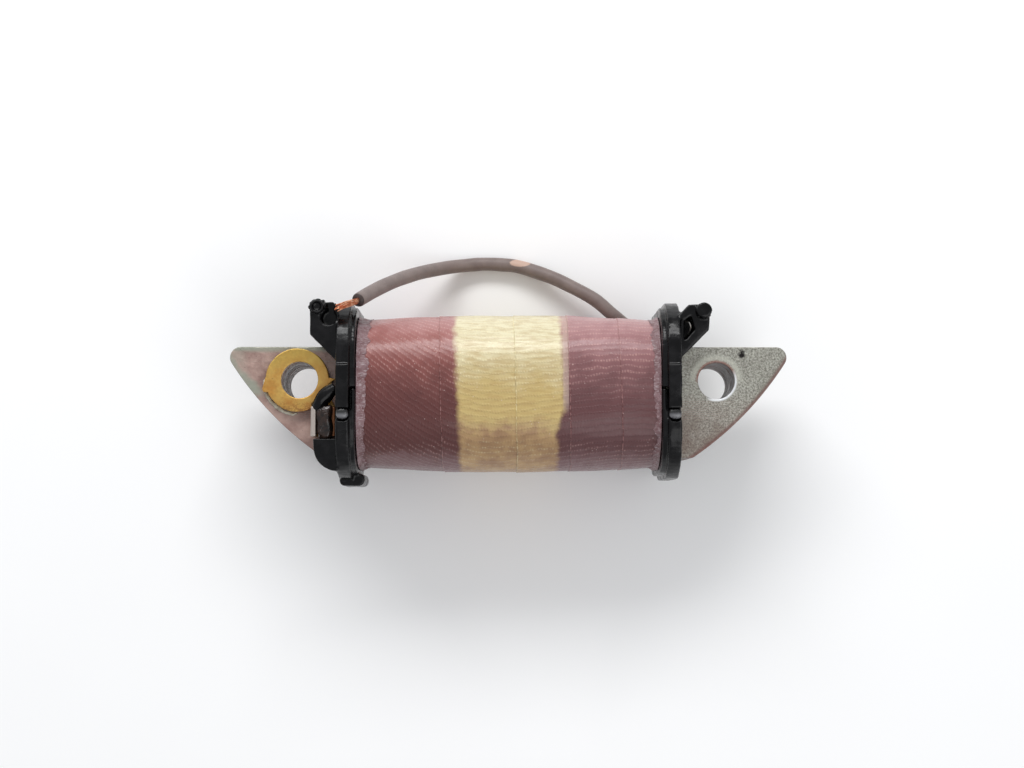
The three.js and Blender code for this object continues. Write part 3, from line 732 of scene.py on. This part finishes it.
def add_core_sheet(number):
    """One stamping, with rounded-over edges and a hair of misalignment in the stack."""
    node = f"core_lamination_{number:02d}"
    low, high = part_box(node)
    draw = random.Random(100 + number)
    is_front = number == SHEET_COUNT
    bevel = 0.14 if is_front else 0.09
    slip = Vector((0, 0))
    if number not in (1, SHEET_COUNT):
        slip = Vector((draw.uniform(-1, 1), draw.uniform(-1, 1))) * SHEET_SLIP
    curve = bpy.data.curves.new(node, "CURVE")
    curve.dimensions = "2D"
    curve.fill_mode = "BOTH"
    curve.extrude = (high.z - low.z) / 2 - bevel * MM
    curve.bevel_depth = bevel * MM
    curve.bevel_resolution = 2
    curve.offset = -bevel * MM
    holes = [arc(side * HOLE_X, HOLE_Y, HOLE_RADIUS, 0, 2 * math.pi, 72)[:-1] for side in (-1, 1)]
    for outline in [core_outline(), *holes]:
        spline = curve.splines.new("POLY")
        spline.points.add(len(outline) - 1)
        for point, (x, y) in zip(spline.points, outline):
            point.co = ((x + slip.x) * MM, (y + slip.y) * MM, 0, 1)
        spline.use_cyclic_u = True
    flat = bpy.data.objects.new(node, curve)
    bpy.context.scene.collection.objects.link(flat)
    depsgraph = bpy.context.evaluated_depsgraph_get()
    mesh = bpy.data.meshes.new_from_object(flat.evaluated_get(depsgraph))
    bpy.data.objects.remove(flat)
    build = bmesh.new()
    build.from_mesh(mesh)
    bmesh.ops.remove_doubles(build, verts=build.verts, dist=1e-7)
    bmesh.ops.translate(build, verts=build.verts, vec=(0, 0, (low.z + high.z) / 2))
    build.to_mesh(mesh)
    build.free()
    mesh.materials.clear()
    for material in (ZINC, VARNISHED, EDGE):
        mesh.materials.append(material)
    for face in mesh.polygons:
        is_edge = abs(face.normal.z) < 0.5
        face.material_index = 2 if is_edge else (1 if face.center.x < 0 else 0)
        face.use_smooth = is_edge
    link(f"core_sheet_{number:02d}", mesh, "core_steel", node)


for sheet_number in range(1, SHEET_COUNT + 1):
    add_core_sheet(sheet_number)


# ---- winding and tape ----
def around(share, half_y, half_z, corner):
    """A point (y, z) and its outward normal on a rounded rectangle; share 0 is the +Y side's middle and
    the path runs over the front (+Z) first."""
    flat_y, flat_z = half_y - corner, half_z - corner
    quarter = math.pi / 2 * corner
    lengths = [flat_z, quarter, 2 * flat_y, quarter, 2 * flat_z, quarter, 2 * flat_y, quarter, flat_z]
    at = (share % 1.0) * sum(lengths)
    legs = [
        ((half_y, 0.0), (0, 1)), (None, 0), ((flat_y, half_z), (-1, 0)), (None, 1),
        ((-half_y, flat_z), (0, -1)), (None, 2), ((-flat_y, -half_z), (1, 0)), (None, 3),
        ((half_y, -flat_z), (0, 1)),
    ]
    centres = [(flat_y, flat_z), (-flat_y, flat_z), (-flat_y, -flat_z), (flat_y, -flat_z)]
    for length, (start, move) in zip(lengths, legs):
        if at > length:
            at -= length
            continue
        if start is None:
            angle = math.pi / 2 * move + at / corner
            normal = (math.cos(angle), math.sin(angle))
            centre = centres[move]
            return (centre[0] + corner * normal[0], centre[1] + corner * normal[1]), normal
        point = (start[0] + move[0] * at, start[1] + move[1] * at)
        normal = (move[1], -move[0])
        return point, normal
    return (half_y, 0.0), (1, 0)


AROUND_STEPS = 380
PERIMETER = 2 * math.pi * TAPE_CORNER + 4 * (TAPE_HALF_Y - TAPE_CORNER) + 4 * (TAPE_HALF_Z - TAPE_CORNER)
LAY_STEPS = [
    (-22.3, 1.05),
    (-17.0, 0.8),
    (-10.0, 0.55),
    (-4.0, 0.1),
    (2.0, -0.12),
    (9.0, -0.16),
    (16.0, -0.04),
    (22.3, 0.05),
]


def row_slope(x):
    """How steeply the yarn rows fall to the right at x."""
    for (x0, s0), (x1, s1) in zip(LAY_STEPS, LAY_STEPS[1:]):
        if x <= x1:
            return s0 + (s1 - s0) * max(0.0, (x - x0) / (x1 - x0))
    return LAY_STEPS[-1][1]


def row_drop(x):
    """The slope added up from the left end to x."""
    steps = 24
    width = (x + TAPE_END) / steps
    return sum(row_slope(-TAPE_END + (i + 0.5) * width) for i in range(steps)) * width


def body_swell(x, share):
    """How far the taped surface stands off its rounded rectangle."""
    barrel = -0.72 * abs(x / TAPE_END) ** 2.2
    angle = 2 * math.pi * share
    soft = 0.12 * noise.noise(Vector((x * 0.16, 5 * math.cos(angle), 5 * math.sin(angle))))
    return barrel + soft - 0.08


def seam_x(index, share):
    """Where a turn's left edge runs; it leans to the right towards the bottom."""
    if index in (0, len(SEAMS) - 1):
        return SEAMS[index]
    angle = 2 * math.pi * share
    wander = 0.12 * noise.noise(Vector((index * 3.1, 4 * math.cos(angle), 4 * math.sin(angle))))
    return SEAMS[index] - 0.32 * math.cos(angle) + wander


def wrap_mesh(name, columns, along, lift, thickness):
    """A closed sleeve. along(i, share) gives x for column i, lift(x, share, i) its height off the body."""
    verts, lay = [], []
    ring = [around(k / AROUND_STEPS, TAPE_HALF_Y, TAPE_HALF_Z, TAPE_CORNER) for k in range(AROUND_STEPS)]
    for layer in (0, 1):
        for i in range(columns):
            for k, ((y, z), (ny, nz)) in enumerate(ring):
                share = k / AROUND_STEPS
                x = along(i, share)
                h = lift(x, share, i) - (thickness if layer else 0)
                verts.append((x, TAPE_AXIS_Y + y + ny * h, AXIS_Z + z + nz * h))
                lay.append((x, share * PERIMETER - row_drop_at(x), abs(x - along(0, share))))
    faces = []
    n = AROUND_STEPS
    inner = columns * n
    for i in range(columns - 1):
        for k in range(n):
            m = (k + 1) % n
            a, b, c, d = i * n + k, i * n + m, (i + 1) * n + m, (i + 1) * n + k
            faces.append((a, b, c, d))
            faces.append((inner + d, inner + c, inner + b, inner + a))
    for i in (0, columns - 1):
        for k in range(n):
            m = (k + 1) % n
            rim = (i * n + m, i * n + k, inner + i * n + k, inner + i * n + m)
            faces.append(rim if i == 0 else tuple(reversed(rim)))
    mesh = mesh_of(name, verts, faces)
    attribute = mesh.attributes.new("lay", "FLOAT_VECTOR", "POINT")
    attribute.data.foreach_set("vector", [c for v in lay for c in v])
    return mesh


DROP_STEP = 0.1
DROPS = [row_drop(-TAPE_END + i * DROP_STEP) for i in range(int(2 * TAPE_END / DROP_STEP) + 20)]


def row_drop_at(x):
    place = max(0.0, (x + TAPE_END) / DROP_STEP)
    i = int(place)
    return DROPS[i] + (DROPS[i + 1] - DROPS[i]) * (place - i)


def add_tape_turn(index):
    """One turn. Its left edge lies on the turn before, and its right edge is tucked under the next."""
    last = index == len(SEAMS) - 2
    tuck = 0.0 if last else 1.2
    width = SEAMS[index + 1] - SEAMS[index] + tuck
    columns = int(width / 0.2)

    def along(i, share):
        x0 = seam_x(index, share)
        x1 = seam_x(index + 1, share) + tuck
        return x0 + (x1 - x0) * i / (columns - 1)

    def lift(x, share, i):
        reach = i / (columns - 1)
        lap = 0.11 * (1 - reach) ** 1.4 if index else 0.0
        row = 0.5 + 0.5 * math.sin(2 * math.pi * (share * PERIMETER - row_drop_at(x)) / ROW_PITCH)
        return body_swell(x, share) + lap + 0.02 * row

    mesh = wrap_mesh(f"tape_turn_{index + 1}", columns, along, lift, 0.14)
    link(f"tape_turn_{index + 1}", mesh, "cloth_tape", f"cloth_tape_turn_{index + 1}", materials=[CLOTH])


for turn_index in range(len(SEAMS) - 1):
    add_tape_turn(turn_index)


def add_end_tape(side):
    """The ragged pale end of the tape, which climbs the flange and frays on its inner edge."""
    columns = 26
    label = "left" if side < 0 else "right"
    reach = 1.7 if side < 0 else 1.15

    def along(i, share):
        c, s = 5 * math.cos(2 * math.pi * share), 5 * math.sin(2 * math.pi * share)
        fray = 0.5 * noise.noise(Vector((side * 9, c * 1.2, s * 1.2)))
        fray += 0.35 * noise.noise(Vector((side * 5, c * 5, s * 5)))
        inner = TAPE_END - reach * (0.72 + 0.28 * c / 5) + fray
        x = inner + (TAPE_END + 0.18 - inner) * i / (columns - 1)
        return side * x

    def lift(x, share, i):
        climb = (i / (columns - 1)) ** 2
        c, s = math.cos(2 * math.pi * share), math.sin(2 * math.pi * share)
        rough = noise.noise(Vector((x * 1.6, c * 14, s * 14)))
        return body_swell(x, share) + 0.08 + 0.5 * climb + 0.16 * rough

    mesh = wrap_mesh(f"end_cloth_{label}", columns, along, lift, 0.2)
    if side < 0:
        mesh.flip_normals()
    link(f"end_cloth_{label}", mesh, "pale_tape", f"end_tape_{label}", materials=[PALE])


add_end_tape(-1)
add_end_tape(1)


# ---- bobbin ----
moulded("bobbin_upper", "bobbin_upper_half", 0.16, "black_plastic", BLACK, 5, rough=0.07)
moulded("bobbin_lower", "bobbin_lower_half", 0.16, "black_plastic", BLACK, 5, rough=0.07)

# ---- ground terminal ----
moulded("ground_ring", "ground_ring_terminal", 0.08, "terminal_brass", BRASS, 3, rough=0.05)


def lump(name, centre, half, slot, material, *nodes, uneven=0.25, grain=0.7, square=2.6):
    """A closed, slightly squared blob of resin or moulding."""
    build = bmesh.new()
    bmesh.ops.create_icosphere(build, subdivisions=5, radius=1)
    for v in build.verts:
        p = v.co.normalized()
        shape = sum(abs(c) ** square for c in p) ** (-1 / square)
        reach = Vector((p.x * half[0], p.y * half[1], p.z * half[2]))
        swell = 1 + uneven * noise.noise(reach * grain + Vector(centre))
        at = [centre[i] + half[i] * p[i] * shape * swell for i in range(3)]
        v.co = Vector(at) * MM
    mesh = bpy.data.meshes.new(name)
    build.to_mesh(mesh)
    build.free()
    mesh.polygons.foreach_set("use_smooth", [True] * len(mesh.polygons))
    return link(name, mesh, slot, *nodes, materials=[material])


FILL_AT, FILL_HALF = (-27.35, -4.2, 21.45), (1.25, 2.7, 1.35)
lump("ground_fill", FILL_AT, FILL_HALF, "dark_resin", RESIN, "ground_crimp_fill", square=3.4)


def add_ground_sleeve():
    """The sleeve slants from the crimp to the flange, and is fullest halfway."""
    route = [
        (-28.75, -2.3, 21.75),
        (-28.1, -1.7, 22.1),
        (-27.4, -0.9, 22.4),
        (-26.7, -0.1, 22.6),
        (-25.7, 0.7, 22.7),
    ]

    def width(share, angle):
        return (0.85 + 0.25 * math.sin(math.pi * share)) * (1 + 0.08 * math.sin(7 * share + 2 * angle))

    verts, faces = tube(smooth_curve(route, 8), width, 20)
    mesh = mesh_of("ground_sleeve", verts, faces)
    link("ground_sleeve", mesh, "black_plastic", "ground_wire_sleeve", materials=[BLACK])


add_ground_sleeve()


def add_varnish_bead():
    """The ridge of varnish that dried along the ring's lower left edge."""
    draw = random.Random(3)
    points = []
    for i in range(40):
        angle = math.radians(178 + 92 * i / 39)
        radius = 5.05 + 0.12 * draw.uniform(-1, 1)
        x = RING_CENTRE_X + radius * math.cos(angle)
        y = HOLE_Y + radius * math.sin(angle)
        points.append(Vector((x, y, CORE_FRONT + 0.05)))

    def width(share, angle):
        return 0.1 + 0.3 * math.sin(math.pi * share) ** 0.5 * (0.8 + 0.2 * math.sin(share * 23))

    verts, faces = tube(points, width, 14)
    link("varnish_bead", mesh_of("varnish_bead", verts, faces), "dark_resin", materials=[VARNISH])


add_varnish_bead()


def add_latch_moons():
    """The half-round catch that shows below each front latch tongue."""
    for label, side in (("left", -1), ("right", 1)):
        centre = (side * 24.4, -3.4, 26.0)
        lump(f"latch_moon_{label}", centre, (0.9, 0.8, 0.5), "black_plastic", MOON, uneven=0.08)


add_latch_moons()


def add_post_burrs():
    """Torn plastic round the foot of each terminal post."""
    draw = random.Random(11)
    for label, x, y, z in (("left", -28.25, 12.35, 25.05), ("right", 28.8, 11.85, 24.45)):
        points = []
        for i in range(34):
            angle = 2 * math.pi * i / 36
            radius = 1.06 + 0.07 * draw.uniform(-1, 1)
            offset = Vector((radius * math.cos(angle), radius * math.sin(angle), 0.1 * draw.random()))
            points.append(Vector((x, y, z)) + offset)
        widths = [0.1 + 0.14 * draw.random() for _ in points]
        verts, faces = tube(points, lambda share, angle: widths[min(33, int(share * 33.99))], 8)
        mesh = mesh_of(f"post_burr_{label}", verts, faces)
        link(f"post_burr_{label}", mesh, "black_plastic", materials=[BLACK])


add_post_burrs()

SPLICE_AT, SPLICE_HALF = (20.9, 11.0, 3.7), (1.5, 1.35, 1.9)
lump("splice_cover", SPLICE_AT, SPLICE_HALF, "cloth_tape", PALE, "lead_splice_cover", uneven=0.12)


def add_finish_wire():
    route = [(26.2, 7.9, 21.6), (26.8, 8.8, 22.8), (27.0, 9.6, 23.4), (26.7, 10.3, 23.4), (26.1, 10.5, 22.6)]
    verts, faces = tube(smooth_curve(route, 8), 0.15, 10)
    mesh = mesh_of("finish_wire", verts, faces)
    link("finish_wire", mesh, "tinned_wire", "winding_finish_wire", materials=[TINNED])


add_finish_wire()


# ---- carried-over CAD nodes get their finish ----
def dress(node, material):
    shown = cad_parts[node]
    shown.data.materials.clear()
    shown.data.materials.append(material)


dress("magnet_wire_winding", ENAMEL)
dress("yellow_barrier_band", YELLOW_FILM)
dress("base_tape", PAPER_FILM)


# ---- floor and light ----
FLOOR_HALF = 3.0  # metres


def add_floor():
    half = FLOOR_HALF / MM
    corners = [(-half, -half, 0), (half, -half, 0), (half, half, 0), (-half, half, 0)]
    mesh = mesh_of("floor", corners, [(0, 1, 2, 3)], False)
    g = Graph("floor_paper", Roughness=0.9)
    p = g.place()
    g.set("Base Color", g.mix(g.noise(p, 0.02, 2), linear(246, 246, 246), linear(250, 250, 250)))
    mesh.materials.append(g.material)
    floor = bpy.data.objects.new("floor", mesh)
    bpy.context.scene.collection.objects.link(floor)


def add_light(name, at, aim, size, power, colour=(1, 1, 1)):
    data = bpy.data.lights.new(name, "AREA")
    data.shape = "RECTANGLE"
    data.size, data.size_y = size
    data.energy = power
    data.color = colour
    light = bpy.data.objects.new(name, data)
    light.location = Vector(at)
    light.rotation_euler = (Vector(aim) - Vector(at)).to_track_quat("-Z", "Y").to_euler()
    bpy.context.scene.collection.objects.link(light)


def add_studio():
    world = bpy.data.worlds.new("studio")
    bpy.context.scene.world = world
    world.use_nodes = True
    background = world.node_tree.nodes["Background"]
    background.inputs["Color"].default_value = (0.95, 0.97, 1.0, 1.0)
    background.inputs["Strength"].default_value = 0.5
    add_light("key", (-0.08, 0.42, 0.34), (0, 0, 0.01), (0.5, 0.16), 2.2)
    add_light("fill", (0.25, -0.25, 0.5), (0, 0, 0.01), (0.5, 0.5), 1.15)


add_floor()
add_studio()
bpy.context.scene.view_settings.view_transform = "Standard"
